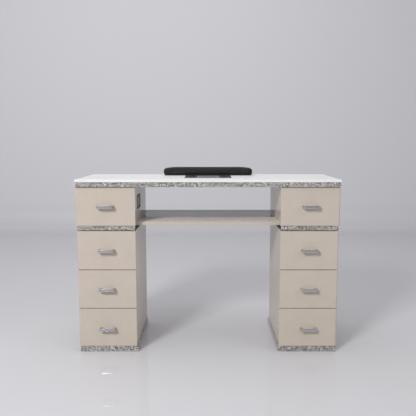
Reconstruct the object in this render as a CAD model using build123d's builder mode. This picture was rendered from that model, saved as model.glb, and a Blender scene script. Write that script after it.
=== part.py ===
from build123d import *
import os

# Manicure table: a stone top on two drawer pedestals that are tied by a shelf, with a dust vent
# let into the top and a padded armrest along its rear edge. +X right, +Y to the rear, +Z up.
# Pieces that come in pairs are shaped on the right-hand side and mirrored for the left.

# ---- Overall sizes (mm) ----
width = 1200.0  # stone top, left to right
depth = 450.0  # stone top, front to rear
height = 800.0  # floor to the stone's upper face

# ---- Layers, from the top down ----
stone_t = 11.0
stone_corner_r = 3.0
stone_bevel = 1.2
top_board_t = 22.0
top_board_inset = 2.0
upper_case_h = 178.0
mid_board_t = 19.5
shadow_strip_t = 1.5
plinth_h = 26.0

# ---- Pedestals ----
knee_w = 658.0  # clear width between the pedestals
upper_outer_inset = 2.0  # outer faces, in from the ends of the stone top
lower_outer_inset = 5.0
mid_board_outer_inset = 7.0
mid_board_inner_inset = 1.5
mid_board_setback = 12.0
mid_board_rear_inset = 2.0
plinth_outer_inset = 9.0
plinth_inner_proud = 6.0
shadow_strip_inset = 8.0
front_setback = 10.0  # drawer fronts, behind the stone's front edge
rear_setback = 5.0
board_t = 15.0
back_corner_r = 3.0

# ---- Drawers ----
lower_drawers = 3
front_t = 18.0
front_edge_r = 8.0
bumper_gap = 2.0  # between a closed front and its case
joint_gap = 3.0  # between one front and the next
front_lift = 1.0  # the share of that gap under each front
top_shadow_gap = 1.5  # over the upper fronts
upper_front_lift = 1.5
box_l = 350.0
box_board_t = 12.0
box_bottom_t = 5.0
box_bottom_rise = 6.0
box_floor_gap = 1.0  # under the box of the lowest drawer, over the case's bottom board
upper_box_head = 50.0  # from the top of an upper drawer's box to the top of its front
lower_box_head = 32.0

# ---- Drawer runners ----
runner_w = 12.7
runner_h = 35.0
runner_l = 346.0
runner_rise = 24.0  # runner centre above the box's underside
runner_metal_t = 1.2
runner_lip = 3.0
runner_slit = 0.8  # above and below the tongue, to the lips
runner_face_gap = 1.5  # between the two members, across the runner
runner_setback = 2.0  # behind the case's front edge

# ---- Pulls and screws ----
pull_pitch = 64.0  # between the two screws
pull_leg_t = 9.0
pull_bar_t = 6.0
pull_h = 12.5
pull_reach = 28.0
pull_corner_r = 9.0
pull_inner_r = 3.0
pull_edge_r = 0.8
screw_d = 4.0
screw_clearance = 0.2  # radial, in the boards it passes through
screw_head_d = 8.0
screw_head_t = 2.5
pull_thread_l = 10.0
lowest_pull_drop = 5.5  # below the middle of the lowest fronts

# ---- Shelf and stop panel ----
shelf_t = 15.0
shelf_drop = 2.5  # shelf underside below the upper cases' lower edge
shelf_setback = 59.0
shelf_d = 181.0
shelf_screw_inset = 30.0
shelf_thread_l = 20.0
stop_t = 5.0
stop_rise = 34.0  # above the shelf
stop_end_gap = 0.5
stop_screws = 4
stop_screw_inset = 60.0
stop_thread_l = 12.0

# ---- Power outlet, lead and gland, in the left pedestal ----
outlet_w = 110.0
outlet_h = 68.0
outlet_back = 138.0  # its centre, behind the stone's front edge
outlet_down = 110.0  # its centre, below the stone's upper face
outlet_plate_t = 2.0
outlet_rim = 7.0
outlet_sink = 5.0  # socket block behind the plate's outer face
outlet_box_t = 23.0  # from the side panel's outer face to the back of the socket block
outlet_fit = 0.2
outlet_corner_r = 8.0
outlet_plate_bevel = 0.7
socket_pitch = 42.0
socket_face_w = 34.0
socket_face_h = 28.0
socket_face_t = 1.5
socket_corner_r = 3.0
pin_slot_w = 2.0
pin_slot_h = 8.0
pin_slot_pitch = 12.7
earth_hole_d = 4.8
earth_hole_shift = 9.0  # to the front of a socket's centre
pin_slot_shift = 2.0  # to the rear of it
pin_depth = 12.0
lead_d = 7.0
lead_stand_off = 1.0
gland_flange_d = 20.0
gland_flange_t = 2.5
gland_barrel_d = 12.0
gland_bore_d = 8.5

# ---- Dust vent ----
vent_w = 222.0
vent_d = 192.0
vent_pad_gap = 3.5  # from the vent's rim to the armrest pad
vent_rim_w = 7.0
vent_rim_t = 1.2
vent_fit = 0.5
vent_wall_t = 1.5
vent_tray_h = 42.0  # below the stone's upper face
vent_ledge_w = 6.0
vent_ledge_t = 1.5
vent_exhaust_d = 114.0
grille_t = 1.6
grille_share = 0.52  # of the tray's inside, the lift-out middle grille
grille_gap = 0.6
slot_l = 13.0
slot_w = 2.6
slot_pitch_x = 16.5
slot_pitch_y = 6.5
grille_border = 8.0
filter_t = 8.0
fan_size = 120.0
fan_t = 24.0
fan_bore_d = 116.0
fan_corner_r = 6.0
fan_screw_pitch = 105.0
fan_screw_d = 4.3
rotor_tip_gap = 1.5
rotor_hub_d = 40.0
rotor_h = 18.0
rotor_lift = 0.6
blades = 7
blade_t = 2.0
blade_chord = 22.0
blade_angle = 35.0
blade_overlap = 1.0  # into the hub, and past the tip before it is trimmed round
strut_t = 3.0
strut_w = 6.0
strut_overlap = 1.0  # into the frame at each end
motor_plate_d = 44.0
shaft_d = 4.0
shaft_l = 14.0
shaft_fit = 0.05  # radial running clearance

# ---- Armrest ----
pad_w = 448.0
pad_d = 86.0
pad_h = 37.0
pad_setback = 322.0  # its front, behind the stone's front edge
pad_corner_r = 18.0
pad_top_r = 16.0
pad_base_t = 4.0
pad_base_inset = 6.0

# ---- Angle brackets under the top board ----
bracket_leg = 22.0
bracket_w = 16.0
bracket_t = 2.0
bracket_inset = 40.0  # from the front and rear ends of the case

tolerance = 0.01  # for choosing edges by their place

# ---- Places worked out from the sizes above ----
pull_overhang = pull_reach - front_setback  # pulls stand out past the stone's front edge
front_y = (pull_overhang - depth) / 2  # stone's front edge, with the whole object centred
rear_y = front_y + depth
stone_z = height - stone_t
board_z = stone_z - top_board_t
upper_z = board_z - upper_case_h
mid_z = upper_z - mid_board_t
lower_top = mid_z - shadow_strip_t
knee_x = knee_w / 2
upper_x = width / 2 - upper_outer_inset
lower_x = width / 2 - lower_outer_inset
case_x = knee_x + board_t  # inside of a pedestal's knee-side wall
face_y = front_y + front_setback
front_back_y = face_y + front_t
case_y = front_back_y + bumper_gap
case_rear = rear_y - rear_setback
back_y = case_rear - board_t
box_lift = board_t + box_floor_gap - front_lift  # box underside above the front's lower edge

shelf_z = upper_z - shelf_drop
shelf_front = front_y + shelf_setback
shelf_rear = shelf_front + shelf_d
shelf_mid_z = shelf_z + shelf_t / 2
shelf_screw_ys = (shelf_front + shelf_screw_inset, shelf_rear - shelf_screw_inset)

outlet_y = front_y + outlet_back
outlet_z = height - outlet_down
outlet_hole_w = outlet_w - 2 * outlet_rim
outlet_hole_h = outlet_h - 2 * outlet_rim
lead_x = case_x + lead_stand_off + lead_d / 2

pad_front = front_y + pad_setback
vent_y = pad_front - vent_pad_gap - vent_d / 2
tray_w = vent_w - 2 * vent_rim_w
tray_d = vent_d - 2 * vent_rim_w
tray_inner_w = tray_w - 2 * (vent_fit + vent_wall_t)
tray_inner_d = tray_d - 2 * (vent_fit + vent_wall_t)
tray_z = height - vent_tray_h
grille_z = height + vent_rim_t - grille_t
fan_z = tray_z + vent_wall_t


# ---- Helpers ----


def slab(x_range, y_range, z_range):
    """A rectangular board between two X, two Y and two Z places."""
    (x0, x1), (y0, y1), (z0, z1) = x_range, y_range, z_range
    with BuildPart() as board:
        with BuildSketch(Plane.XY.offset(z0)):
            with Locations(((x0 + x1) / 2, (y0 + y1) / 2)):
                Rectangle(x1 - x0, y1 - y0)
        extrude(amount=z1 - z0)
    return board.part


def screw(at, towards, shank_l):
    """A pan-head screw whose head seats at a point and whose shank runs in a direction."""
    seat = Plane(at, z_dir=towards)
    with BuildPart() as fixing:
        with BuildSketch(seat):
            Circle(screw_d / 2)
        extrude(amount=shank_l)
        with BuildSketch(seat):
            Circle(screw_head_d / 2)
        extrude(amount=-screw_head_t)
    return fixing.part


def mirrored(piece):
    return piece.mirror(Plane.YZ)


def handed(side_name, *pieces):
    """The right-hand pieces as they are, or mirrored for the left."""
    return [piece if side_name == "right" else mirrored(piece) for piece in pieces]


def save(name, *pieces):
    """Write one node. More than one piece stays a group of separate solids."""
    node = pieces[0] if len(pieces) == 1 else Compound(children=list(pieces))
    node.label = name
    export_step(node, f"parts/{name}.step")


# ---- Top ----


def make_stone_top():
    with BuildPart() as stone_top:
        with BuildSketch(Plane.XY.offset(stone_z)):
            with Locations((0, (front_y + rear_y) / 2)):
                RectangleRounded(width, depth, stone_corner_r)
            with Locations((0, vent_y)):
                Rectangle(tray_w, tray_d, mode=Mode.SUBTRACT)
        extrude(amount=stone_t)
        upper_face = stone_top.faces().sort_by(Axis.Z)[-1]
        chamfer(upper_face.outer_wire().edges(), length=stone_bevel)
    save("stone_top", stone_top.part)


def make_top_board():
    with BuildPart() as top_board:
        with BuildSketch(Plane.XY.offset(board_z)):
            with Locations((0, (front_y + rear_y) / 2)):
                Rectangle(width - 2 * top_board_inset, depth - 2 * top_board_inset)
            with Locations((0, vent_y)):
                Rectangle(tray_w, tray_d, mode=Mode.SUBTRACT)
        extrude(amount=top_board_t)
    save("top_board", top_board.part)


def bracket(wall_x, way, at_y):
    """An angle bracket between a case wall and the underside of the top board."""
    with BuildPart() as angle:
        with BuildSketch(Plane.XZ.offset(-at_y)):
            with BuildLine():
                Polyline(
                    (wall_x, board_z),
                    (wall_x + way * bracket_leg, board_z),
                    (wall_x + way * bracket_leg, board_z - bracket_t),
                    (wall_x + way * bracket_t, board_z - bracket_t),
                    (wall_x + way * bracket_t, board_z - bracket_leg),
                    (wall_x, board_z - bracket_leg),
                    close=True,
                )
            make_face()
        extrude(amount=bracket_w / 2, both=True)
    return angle.part


def make_top_brackets():
    brackets = []
    for at_y in (case_y + bracket_inset, back_y - bracket_inset):
        brackets.append(bracket(case_x, 1, at_y))
        brackets.append(bracket(upper_x - board_t, -1, at_y))
    save("top_brackets", *brackets, *[mirrored(piece) for piece in brackets])


# ---- Pedestals ----


def make_upper_case(side_name):
    has_outlet = side_name == "left"
    with BuildPart() as inner_side:
        add(slab((knee_x, case_x), (case_y, back_y), (upper_z, board_z)))
        with BuildSketch(Plane.YZ.offset(knee_x)):
            with Locations(*[(at_y, shelf_mid_z) for at_y in shelf_screw_ys]):
                Circle(screw_d / 2 + screw_clearance)
            if has_outlet:
                with Locations((outlet_y, outlet_z)):
                    Rectangle(outlet_hole_w, outlet_hole_h)
        extrude(amount=board_t, mode=Mode.SUBTRACT)
    save(f"upper_inner_side_{side_name}", *handed(side_name, inner_side.part))

    outer_side = slab((upper_x - board_t, upper_x), (case_y, back_y), (upper_z, board_z))
    with BuildPart() as back:
        add(slab((knee_x, upper_x), (back_y, case_rear), (upper_z, board_z)))
        fillet(back.edges().filter_by(Axis.Z).group_by(Axis.Y)[-1], radius=back_corner_r)
        if has_outlet:
            with BuildSketch(Plane.XZ.offset(-back_y)):
                with Locations((lead_x, outlet_z)):
                    Circle(gland_barrel_d / 2)
            extrude(amount=-board_t, mode=Mode.SUBTRACT)
    save(f"upper_case_{side_name}", *handed(side_name, outer_side, back.part))


def make_lower_case(side_name):
    case_z = (plinth_h, lower_top)
    inside_x = (case_x, lower_x - board_t)
    inner_side = slab((knee_x, case_x), (case_y, back_y), case_z)
    outer_side = slab((lower_x - board_t, lower_x), (case_y, back_y), case_z)
    floor = slab(inside_x, (case_y, back_y), (plinth_h, plinth_h + board_t))
    lid = slab(inside_x, (case_y, back_y), (lower_top - board_t, lower_top))
    with BuildPart() as back:
        add(slab((knee_x, lower_x), (back_y, case_rear), case_z))
        fillet(back.edges().filter_by(Axis.Z).group_by(Axis.Y)[-1], radius=back_corner_r)
    save(f"lower_case_{side_name}", *handed(side_name, inner_side, outer_side, floor, lid, back.part))


def make_mid_boards():
    board = slab(
        (knee_x + mid_board_inner_inset, width / 2 - mid_board_outer_inset),
        (front_y + mid_board_setback, case_rear - mid_board_rear_inset),
        (mid_z, upper_z),
    )
    save("mid_boards", board, mirrored(board))


def make_plinths():
    plinth = slab(
        (knee_x - plinth_inner_proud, width / 2 - plinth_outer_inset),
        (face_y, case_rear),
        (0, plinth_h),
    )
    save("plinths", plinth, mirrored(plinth))


def make_shadow_strips():
    strip = slab(
        (knee_x + shadow_strip_inset, lower_x - shadow_strip_inset),
        (case_y + shadow_strip_inset, case_rear - shadow_strip_inset),
        (lower_top, mid_z),
    )
    save("shadow_strips", strip, mirrored(strip))


# ---- Drawers ----


def drawer_rows():
    """Every drawer of a pedestal: row, case's outer face, front's lower and upper edge, box's top, pull."""
    low, high = upper_z + upper_front_lift, board_z - top_shadow_gap
    rows = [(1, upper_x, low, high, high - upper_box_head, (low + high) / 2)]
    pitch = (lower_top - plinth_h) / lower_drawers
    for row in range(lower_drawers):
        low = lower_top - (row + 1) * pitch + front_lift
        high = low + pitch - joint_gap
        pull_z = (low + high) / 2 - (lowest_pull_drop if row == lower_drawers - 1 else 0)
        rows.append((row + 2, lower_x, low, high, high - lower_box_head, pull_z))
    return rows


def pull_screw_places(outer_x, pull_z):
    """The two screws of a pull, as X and Z, centred across its front."""
    centre_x = (knee_x + outer_x) / 2
    return [(centre_x - pull_pitch / 2, pull_z), (centre_x + pull_pitch / 2, pull_z)]


def make_drawer_front(node, side_name, outer_x, low, high, pull_z):
    with BuildPart() as front:
        add(slab((knee_x, outer_x), (face_y, front_back_y), (low, high)))
        outer_edge = front.edges().filter_by(Axis.Z).group_by(Axis.Y)[0].sort_by(Axis.X)[-1]
        fillet(outer_edge, radius=front_edge_r)
        with BuildSketch(Plane.XZ.offset(-face_y)):
            with Locations(*pull_screw_places(outer_x, pull_z)):
                Circle(screw_d / 2 + screw_clearance)
        extrude(amount=-front_t, mode=Mode.SUBTRACT)
    save(f"drawer_front_{node}", *handed(side_name, front.part))


def make_drawer_box(node, side_name, outer_x, low, box_top, pull_z):
    x0, x1 = case_x + runner_w, outer_x - board_t - runner_w
    y0, y1 = front_back_y, front_back_y + box_l
    z0 = low + box_lift
    inside_x = (x0 + box_board_t, x1 - box_board_t)
    walls = (z0, box_top)
    left_wall = slab((x0, x0 + box_board_t), (y0, y1), walls)
    right_wall = slab((x1 - box_board_t, x1), (y0, y1), walls)
    back = slab(inside_x, (y1 - box_board_t, y1), walls)
    bottom_z = z0 + box_bottom_rise
    bottom = slab(inside_x, (y0 + box_board_t, y1 - box_board_t), (bottom_z, bottom_z + box_bottom_t))
    with BuildPart() as sub_front:
        add(slab(inside_x, (y0, y0 + box_board_t), walls))
        with BuildSketch(Plane.XZ.offset(-y0)):
            with Locations(*pull_screw_places(outer_x, pull_z)):
                Circle(screw_d / 2 + screw_clearance)
        extrude(amount=-box_board_t, mode=Mode.SUBTRACT)
    save(f"drawer_box_{node}", *handed(side_name, left_wall, right_wall, sub_front.part, back, bottom))


def make_drawer_pull(node, side_name, outer_x, centre_z):
    screw_places = pull_screw_places(outer_x, centre_z)
    centre_x = (knee_x + outer_x) / 2
    half_w = (pull_pitch + pull_leg_t) / 2
    bar_y = face_y - pull_reach
    with BuildPart() as pull:
        with BuildSketch(Plane.XY.offset(centre_z)) as outline:
            with Locations((centre_x, face_y - pull_reach / 2)):
                Rectangle(2 * half_w, pull_reach)
            with Locations((centre_x, face_y - (pull_reach - pull_bar_t) / 2)):
                Rectangle(2 * (half_w - pull_leg_t), pull_reach - pull_bar_t, mode=Mode.SUBTRACT)
            corners = outline.vertices().group_by(Axis.Y)
            fillet(corners[0], radius=pull_corner_r)
            corners = outline.vertices().filter_by(lambda v: abs(v.Y - bar_y - pull_bar_t) < tolerance)
            fillet(corners, radius=pull_inner_r)
        extrude(amount=pull_h / 2, both=True)
        rims = pull.edges().filter_by(lambda e: abs(abs(e.center().Z - centre_z) - pull_h / 2) < tolerance)
        fillet(rims.filter_by(lambda e: e.center().Y < face_y - tolerance), radius=pull_edge_r)
        with BuildSketch(Plane.XZ.offset(-face_y)):
            with Locations(*screw_places):
                Circle(screw_d / 2)
        extrude(amount=pull_thread_l, mode=Mode.SUBTRACT)
    seat_y = front_back_y + box_board_t
    shank_l = box_board_t + front_t + pull_thread_l
    screws = [screw((x, seat_y, z), (0, -1, 0), shank_l) for x, z in screw_places]
    save(f"drawer_pull_{node}", *handed(side_name, pull.part, *screws))


def runner_member(outline, wall_x, way, centre_z):
    """A rolled runner member, from its outline as distances from the wall and from its centre."""
    with BuildPart() as member:
        with BuildSketch(Plane.XZ.offset(-(case_y + runner_setback))):
            with BuildLine():
                Polyline(*[(wall_x + way * u, centre_z + v) for u, v in outline], close=True)
            make_face()
        extrude(amount=-runner_l)
    return member.part


def runner_outlines():
    """The channel on the case and the tongue on the drawer."""
    t = runner_metal_t
    top = runner_h / 2
    deep = runner_w - runner_face_gap
    lip = top - t - runner_lip
    channel = [(0, -top), (deep, -top), (deep, -lip), (deep - t, -lip), (deep - t, t - top), (t, t - top)]
    channel += [(u, -v) for u, v in reversed(channel)]
    tongue_top = lip - runner_slit
    near = t + runner_face_gap
    tongue = [
        (near, -tongue_top), (runner_w, -tongue_top), (runner_w, tongue_top), (near, tongue_top),
        (near, tongue_top - t), (runner_w - t, tongue_top - t),
        (runner_w - t, t - tongue_top), (near, t - tongue_top),
    ]
    return channel, tongue


def make_drawers():
    channel, tongue = runner_outlines()
    fixed = []
    for row, outer_x, low, high, box_top, pull_z in drawer_rows():
        walls = ((case_x, 1), (outer_x - board_t, -1))
        runner_z = low + box_lift + runner_rise
        channels = [runner_member(channel, wall_x, way, runner_z) for wall_x, way in walls]
        tongues = [runner_member(tongue, wall_x, way, runner_z) for wall_x, way in walls]
        for side_name in ("left", "right"):
            node = f"{side_name}_{row}"
            make_drawer_front(node, side_name, outer_x, low, high, pull_z)
            make_drawer_box(node, side_name, outer_x, low, box_top, pull_z)
            make_drawer_pull(node, side_name, outer_x, pull_z)
            save(f"runner_tongues_{node}", *handed(side_name, *tongues))
            fixed += handed(side_name, *channels)
    save("runner_channels", *fixed)


# ---- Shelf ----


def stop_screw_xs():
    span = knee_w - 2 * stop_screw_inset
    return [span * (k / (stop_screws - 1) - 0.5) for k in range(stop_screws)]


def make_shelf():
    with BuildPart() as shelf:
        add(slab((-knee_x, knee_x), (shelf_front, shelf_rear), (shelf_z, shelf_z + shelf_t)))
        for end_x, way in ((-knee_x, 1), (knee_x, -1)):
            with BuildSketch(Plane.YZ.offset(end_x)):
                with Locations(*[(at_y, shelf_mid_z) for at_y in shelf_screw_ys]):
                    Circle(screw_d / 2)
            extrude(amount=way * shelf_thread_l, mode=Mode.SUBTRACT)
        with BuildSketch(Plane.XZ.offset(-shelf_rear)):
            with Locations(*[(at_x, shelf_mid_z) for at_x in stop_screw_xs()]):
                Circle(screw_d / 2)
        extrude(amount=stop_thread_l, mode=Mode.SUBTRACT)
    save("shelf", shelf.part)

    stop_x = knee_x - stop_end_gap
    with BuildPart() as stop_panel:
        stop_z = (shelf_z, shelf_z + shelf_t + stop_rise)
        add(slab((-stop_x, stop_x), (shelf_rear, shelf_rear + stop_t), stop_z))
        with BuildSketch(Plane.XZ.offset(-shelf_rear)):
            with Locations(*[(at_x, shelf_mid_z) for at_x in stop_screw_xs()]):
                Circle(screw_d / 2 + screw_clearance)
        extrude(amount=-stop_t, mode=Mode.SUBTRACT)
    save("stop_panel", stop_panel.part)

    end_screws = [screw((case_x, at_y, shelf_mid_z), (-1, 0, 0), board_t + shelf_thread_l)
                  for at_y in shelf_screw_ys]
    stop_fixings = [screw((at_x, shelf_rear + stop_t, shelf_mid_z), (0, -1, 0), stop_t + stop_thread_l)
                    for at_x in stop_screw_xs()]
    save("shelf_screws", *end_screws, *[mirrored(piece) for piece in end_screws], *stop_fixings)


# ---- Power outlet ----


def make_outlet():
    with BuildPart() as plate:
        with BuildSketch(Plane.YZ.offset(knee_x - outlet_plate_t)):
            with Locations((outlet_y, outlet_z)):
                RectangleRounded(outlet_w, outlet_h, outlet_corner_r)
                Rectangle(outlet_hole_w, outlet_hole_h, mode=Mode.SUBTRACT)
        extrude(amount=outlet_plate_t)
        chamfer(plate.faces().sort_by(Axis.X)[0].outer_wire().edges(), length=outlet_plate_bevel)
    save("outlet_plate", mirrored(plate.part))

    block_x = knee_x - outlet_plate_t + outlet_sink
    with BuildPart() as block:
        with BuildSketch(Plane.YZ.offset(block_x)):
            with Locations((outlet_y, outlet_z)):
                Rectangle(outlet_hole_w - 2 * outlet_fit, outlet_hole_h - 2 * outlet_fit)
        extrude(amount=knee_x + outlet_box_t - block_x)
        socket_ys = (outlet_y - socket_pitch / 2, outlet_y + socket_pitch / 2)
        with BuildSketch(Plane.YZ.offset(block_x)):
            with Locations(*[(at_y, outlet_z) for at_y in socket_ys]):
                RectangleRounded(socket_face_w, socket_face_h, socket_corner_r)
        extrude(amount=-socket_face_t)
        with BuildSketch(Plane.YZ.offset(block_x - socket_face_t)):
            with Locations(*[(at_y, outlet_z) for at_y in socket_ys]):
                with Locations(*[(pin_slot_shift, way * pin_slot_pitch / 2) for way in (-1, 1)]):
                    Rectangle(pin_slot_h, pin_slot_w)
                with Locations((-earth_hole_shift, 0)):
                    Circle(earth_hole_d / 2)
        extrude(amount=pin_depth, mode=Mode.SUBTRACT)
    save("outlet_sockets", mirrored(block.part))

    lead_start = outlet_y + outlet_hole_w / 2 - outlet_fit
    with BuildPart() as lead:
        with BuildSketch(Plane.XZ.offset(-lead_start)):
            with Locations((lead_x, outlet_z)):
                Circle(lead_d / 2)
        extrude(amount=lead_start - back_y)
    save("supply_lead", mirrored(lead.part))

    with BuildPart() as gland:
        with BuildSketch(Plane.XZ.offset(-back_y)):
            with Locations((lead_x, outlet_z)):
                Circle(gland_barrel_d / 2)
        extrude(amount=-board_t)
        with BuildSketch(Plane.XZ.offset(-case_rear)):
            with Locations((lead_x, outlet_z)):
                Circle(gland_flange_d / 2)
        extrude(amount=-gland_flange_t)
        with BuildSketch(Plane.XZ.offset(-back_y)):
            with Locations((lead_x, outlet_z)):
                Circle(gland_bore_d / 2)
        extrude(amount=-(board_t + gland_flange_t), mode=Mode.SUBTRACT)
    save("cord_gland", mirrored(gland.part))


# ---- Dust vent ----


def slotted_plate(x0, x1, y0, y1):
    """A flat grille plate with staggered rows of slots, between two X and two Y places."""
    centre = ((x0 + x1) / 2, (y0 + y1) / 2)
    columns = int((x1 - x0 - 2 * grille_border + slot_pitch_x - slot_l) // slot_pitch_x)
    rows = int((y1 - y0 - 2 * grille_border + slot_pitch_y - slot_w) // slot_pitch_y)
    with BuildPart() as plate:
        with BuildSketch(Plane.XY.offset(grille_z)):
            with Locations(centre):
                Rectangle(x1 - x0, y1 - y0)
                with GridLocations(slot_pitch_x, slot_pitch_y, columns, rows):
                    SlotOverall(slot_l, slot_w, mode=Mode.SUBTRACT)
        extrude(amount=grille_t)
    return plate.part


def make_vent_tray():
    outer = (tray_w - 2 * vent_fit, tray_d - 2 * vent_fit)
    with BuildPart() as tray:
        with BuildSketch(Plane.XY.offset(tray_z)):
            with Locations((0, vent_y)):
                Rectangle(*outer)
        extrude(amount=vent_tray_h)
        with BuildSketch(Plane.XY.offset(height)):
            with Locations((0, vent_y)):
                RectangleRounded(vent_w, vent_d, stone_corner_r)
        extrude(amount=vent_rim_t)
        with BuildSketch(Plane.XY.offset(fan_z)):
            with Locations((0, vent_y)):
                Rectangle(tray_inner_w, tray_inner_d)
        extrude(amount=height + vent_rim_t - fan_z, mode=Mode.SUBTRACT)
        with BuildSketch(Plane.XY.offset(grille_z - vent_ledge_t)):
            with Locations((0, vent_y)):
                Rectangle(tray_inner_w, tray_inner_d)
                Rectangle(tray_inner_w, tray_inner_d - 2 * vent_ledge_w, mode=Mode.SUBTRACT)
        extrude(amount=vent_ledge_t)
        with BuildSketch(Plane.XY.offset(tray_z)):
            with Locations((0, vent_y)):
                Circle(vent_exhaust_d / 2)
        extrude(amount=vent_wall_t, mode=Mode.SUBTRACT)
    save("vent_tray", tray.part)


def make_vent_grilles():
    half_w = tray_inner_w / 2 - grille_gap / 2
    y0 = vent_y - tray_inner_d / 2 + grille_gap / 2
    y1 = vent_y + tray_inner_d / 2 - grille_gap / 2
    middle_x = grille_share * tray_inner_w / 2
    save("vent_grille", slotted_plate(-middle_x, middle_x, y0, y1))
    side_plate = slotted_plate(middle_x + grille_gap, half_w, y0, y1)
    save("vent_side_plates", side_plate, mirrored(side_plate))


def make_fan():
    filter_z = fan_z + fan_t
    half_w, half_d = tray_inner_w / 2 - vent_fit, tray_inner_d / 2 - vent_fit
    foam = slab((-half_w, half_w), (vent_y - half_d, vent_y + half_d), (filter_z, filter_z + filter_t))
    save("vent_filter", foam)

    with BuildPart() as housing:
        with BuildSketch(Plane.XY.offset(fan_z)):
            with Locations((0, vent_y)):
                RectangleRounded(fan_size, fan_size, fan_corner_r)
                Circle(fan_bore_d / 2, mode=Mode.SUBTRACT)
                with GridLocations(fan_screw_pitch, fan_screw_pitch, 2, 2):
                    Circle(fan_screw_d / 2, mode=Mode.SUBTRACT)
        extrude(amount=fan_t)
        with BuildSketch(Plane.XY.offset(fan_z)):
            with Locations((0, vent_y)):
                Circle(motor_plate_d / 2)
                with Locations(Rotation(0, 0, 45), Rotation(0, 0, 135)):
                    Rectangle(fan_bore_d + 2 * strut_overlap, strut_w)
        extrude(amount=strut_t)
        with BuildSketch(Plane.XY.offset(fan_z + strut_t)):
            with Locations((0, vent_y)):
                Circle(shaft_d / 2)
        extrude(amount=shaft_l)
    save("fan_housing", housing.part)

    rotor_z = fan_z + strut_t + rotor_lift
    blade_z = rotor_z + rotor_h / 2
    tip_r = fan_bore_d / 2 - rotor_tip_gap
    root_r = rotor_hub_d / 2 - blade_overlap
    with BuildPart() as rotor:
        for k in range(blades):
            out = Vector(1, 0, 0).rotate(Axis.Z, 360 * k / blades)
            along = Vector(0, 1, 0).rotate(Axis.Z, 360 * k / blades)
            root = Vector(0, vent_y, blade_z) + out * root_r
            with BuildSketch(Plane(root, x_dir=along, z_dir=out)):
                Rectangle(blade_chord, blade_t, rotation=blade_angle)
            extrude(amount=tip_r - root_r + blade_overlap)
        with BuildSketch(Plane.XY.offset(rotor_z)):
            with Locations((0, vent_y)):
                Circle(tip_r)
        extrude(amount=rotor_h, mode=Mode.INTERSECT)
        with BuildSketch(Plane.XY.offset(rotor_z)):
            with Locations((0, vent_y)):
                Circle(rotor_hub_d / 2)
        extrude(amount=rotor_h)
        with BuildSketch(Plane.XY.offset(rotor_z)):
            with Locations((0, vent_y)):
                Circle(shaft_d / 2 + shaft_fit)
        extrude(amount=shaft_l, mode=Mode.SUBTRACT)
    save("fan_rotor", rotor.part)


# ---- Armrest ----


def make_armrest():
    pad_y = pad_front + pad_d / 2
    with BuildPart() as base:
        with BuildSketch(Plane.XY.offset(height)):
            with Locations((0, pad_y)):
                RectangleRounded(pad_w - 2 * pad_base_inset, pad_d - 2 * pad_base_inset, pad_corner_r / 2)
        extrude(amount=pad_base_t)
    save("armrest_base", base.part)

    with BuildPart() as pad:
        with BuildSketch(Plane.XY.offset(height + pad_base_t)):
            with Locations((0, pad_y)):
                RectangleRounded(pad_w, pad_d, pad_corner_r)
        extrude(amount=pad_h)
        fillet(pad.faces().sort_by(Axis.Z)[-1].edges(), radius=pad_top_r)
    save("armrest_pad", pad.part)


os.makedirs("parts", exist_ok=True)
make_stone_top()
make_top_board()
make_top_brackets()
for pedestal in ("left", "right"):
    make_upper_case(pedestal)
    make_lower_case(pedestal)
make_mid_boards()
make_shadow_strips()
make_plinths()
make_drawers()
make_shelf()
make_outlet()
make_vent_tray()
make_vent_grilles()
make_fan()
make_armrest()
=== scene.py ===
"""A manicure table's looks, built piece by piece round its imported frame."""

import math

import bmesh
import bpy
from bpy.props import FloatProperty, FloatVectorProperty, PointerProperty
from mathutils import Matrix, Vector
from mathutils.bvhtree import BVHTree


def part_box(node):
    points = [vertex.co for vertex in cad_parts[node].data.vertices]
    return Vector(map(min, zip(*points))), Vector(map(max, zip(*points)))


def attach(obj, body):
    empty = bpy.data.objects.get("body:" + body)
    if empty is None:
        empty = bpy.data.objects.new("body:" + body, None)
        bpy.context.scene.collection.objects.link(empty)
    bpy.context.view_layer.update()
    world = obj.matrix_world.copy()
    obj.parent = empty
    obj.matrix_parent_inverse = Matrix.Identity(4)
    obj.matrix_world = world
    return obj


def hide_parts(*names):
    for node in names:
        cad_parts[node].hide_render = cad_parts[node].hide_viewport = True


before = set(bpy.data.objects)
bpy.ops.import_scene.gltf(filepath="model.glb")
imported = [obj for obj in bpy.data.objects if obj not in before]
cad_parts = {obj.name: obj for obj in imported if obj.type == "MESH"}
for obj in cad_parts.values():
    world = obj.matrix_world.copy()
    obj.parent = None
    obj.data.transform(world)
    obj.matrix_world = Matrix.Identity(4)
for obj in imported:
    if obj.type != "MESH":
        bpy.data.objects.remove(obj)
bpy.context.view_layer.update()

bl_info = {
    "name": "Manicure Table",
    "version": (1, 0, 0),
    "blender": (4, 5, 0),
    "location": "View3D > Sidebar > Manicure Table",
    "description": "Builds the finished pieces of a manicure table on its frame",
    "category": "Object",
}

SIDES = {"left": -1, "right": 1}
DRAWERS = [f"{side}_{row}" for side in SIDES for row in (1, 2, 3, 4)]
MM = 0.001
SAME = 1e-6  # points nearer than this are merged
TOUCH = 0.1 * MM  # slack when edges and faces are picked by their place
SHARP = math.radians(40)  # an edge that turns further than this is rounded
UPWARDS = Matrix()
REARWARDS = Matrix.Rotation(math.radians(-90), 4, "X")

# Sizes that go with the frame's own shapes
TRAY_RIM = 7 * MM
KNEE_INSETS = {"mid_boards": 1.5 * MM, "plinths": -6 * MM}  # from the cases' knee-side faces
STONE_CORNER = 3 * MM
BACK_CORNER = 3 * MM
BOX_EDGE = 1.2 * MM
BOX_BOTTOM_EDGE = 0.3 * MM
PULL_EDGE = 0.7 * MM
SHELF_EDGE = 1.0 * MM
STOP_EDGE = 0.6 * MM

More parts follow.
